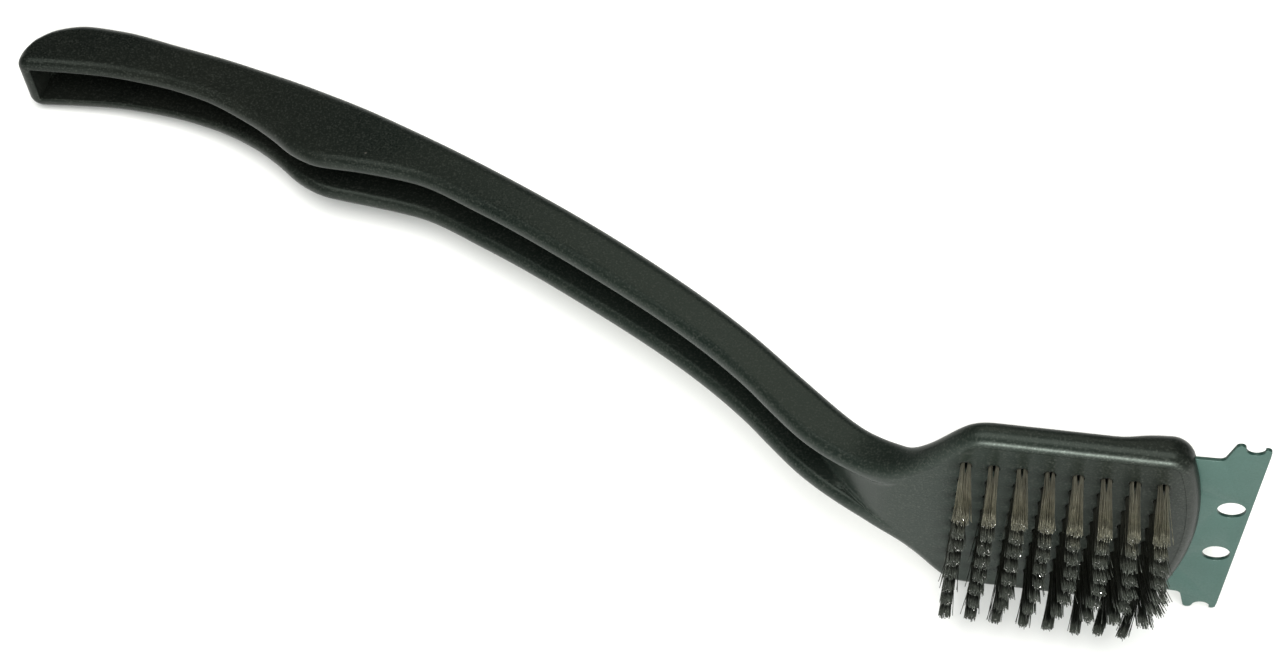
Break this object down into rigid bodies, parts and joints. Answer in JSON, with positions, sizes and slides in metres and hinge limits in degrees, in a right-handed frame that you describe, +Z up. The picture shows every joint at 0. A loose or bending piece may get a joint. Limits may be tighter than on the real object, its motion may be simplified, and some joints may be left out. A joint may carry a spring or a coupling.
{
  "type": "grill cleaning brush",
  "caption": "Long curved plastic grill brush with an open-channel handle, a square head of steel wire tufts and a notched steel scraper plate at its end.",
  "frame": {"origin": "middle of the brush's bounding box, on the surface that it lies on", "axes": "+Z is up with the brush lying on its side, +X runs along the head from the handle to the scraper, and the tufts point along -Y, leaning about 7 degrees upwards"},
  "size_m": [0.4394, 0.1832, 0.0957],
  "materials": {
    "black_plastic": "fine satin moulded grain, near black, slightly polished along its edges",
    "blue_grey_steel": "thin blue-green grey coated steel sheet, dull, with bare punched edges",
    "bristle_wire": "fine drawn wire, brownish grey, bright at its cut ends",
    "anchor_wire": "flat drawn wire"
  },
  "bodies": {
    "root": {"moulded_handle_and_head": "black_plastic", "scraper_plate": "blue_grey_steel", "tufts_row_1_columns_1_2": "bristle_wire", "tufts_row_1_columns_3_4": "bristle_wire", "tufts_row_1_columns_5_6": "bristle_wire", "tufts_row_1_columns_7_8": "bristle_wire", "tufts_row_2_columns_1_2": "bristle_wire", "tufts_row_2_columns_3_4": "bristle_wire", "tufts_row_2_columns_5_6": "bristle_wire", "tufts_row_2_columns_7_8": "bristle_wire", "tufts_row_3_columns_1_2": "bristle_wire", "tufts_row_3_columns_3_4": "bristle_wire", "tufts_row_3_columns_5_6": "bristle_wire", "tufts_row_3_columns_7_8": "bristle_wire", "tufts_row_4_columns_1_2": "bristle_wire", "tufts_row_4_columns_3_4": "bristle_wire", "tufts_row_4_columns_5_6": "bristle_wire", "tufts_row_4_columns_7_8": "bristle_wire", "tufts_row_5_columns_1_2": "bristle_wire", "tufts_row_5_columns_3_4": "bristle_wire", "tufts_row_5_columns_5_6": "bristle_wire", "tufts_row_5_columns_7_8": "bristle_wire", "tufts_row_6_columns_1_2": "bristle_wire", "tufts_row_6_columns_3_4": "bristle_wire", "tufts_row_6_columns_5_6": "bristle_wire", "tufts_row_6_columns_7_8": "bristle_wire", "tufts_row_7_columns_1_2": "bristle_wire", "tufts_row_7_columns_3_4": "bristle_wire", "tufts_row_7_columns_5_6": "bristle_wire", "tufts_row_7_columns_7_8": "bristle_wire", "tufts_row_8_columns_1_2": "bristle_wire", "tufts_row_8_columns_3_4": "bristle_wire", "tufts_row_8_columns_5_6": "bristle_wire", "tufts_row_8_columns_7_8": "bristle_wire", "anchor_strip_column_1": "anchor_wire", "anchor_strip_column_2": "anchor_wire", "anchor_strip_column_3": "anchor_wire", "anchor_strip_column_4": "anchor_wire", "anchor_strip_column_5": "anchor_wire", "anchor_strip_column_6": "anchor_wire", "anchor_strip_column_7": "anchor_wire", "anchor_strip_column_8": "anchor_wire"}
  },
  "joints": []
}
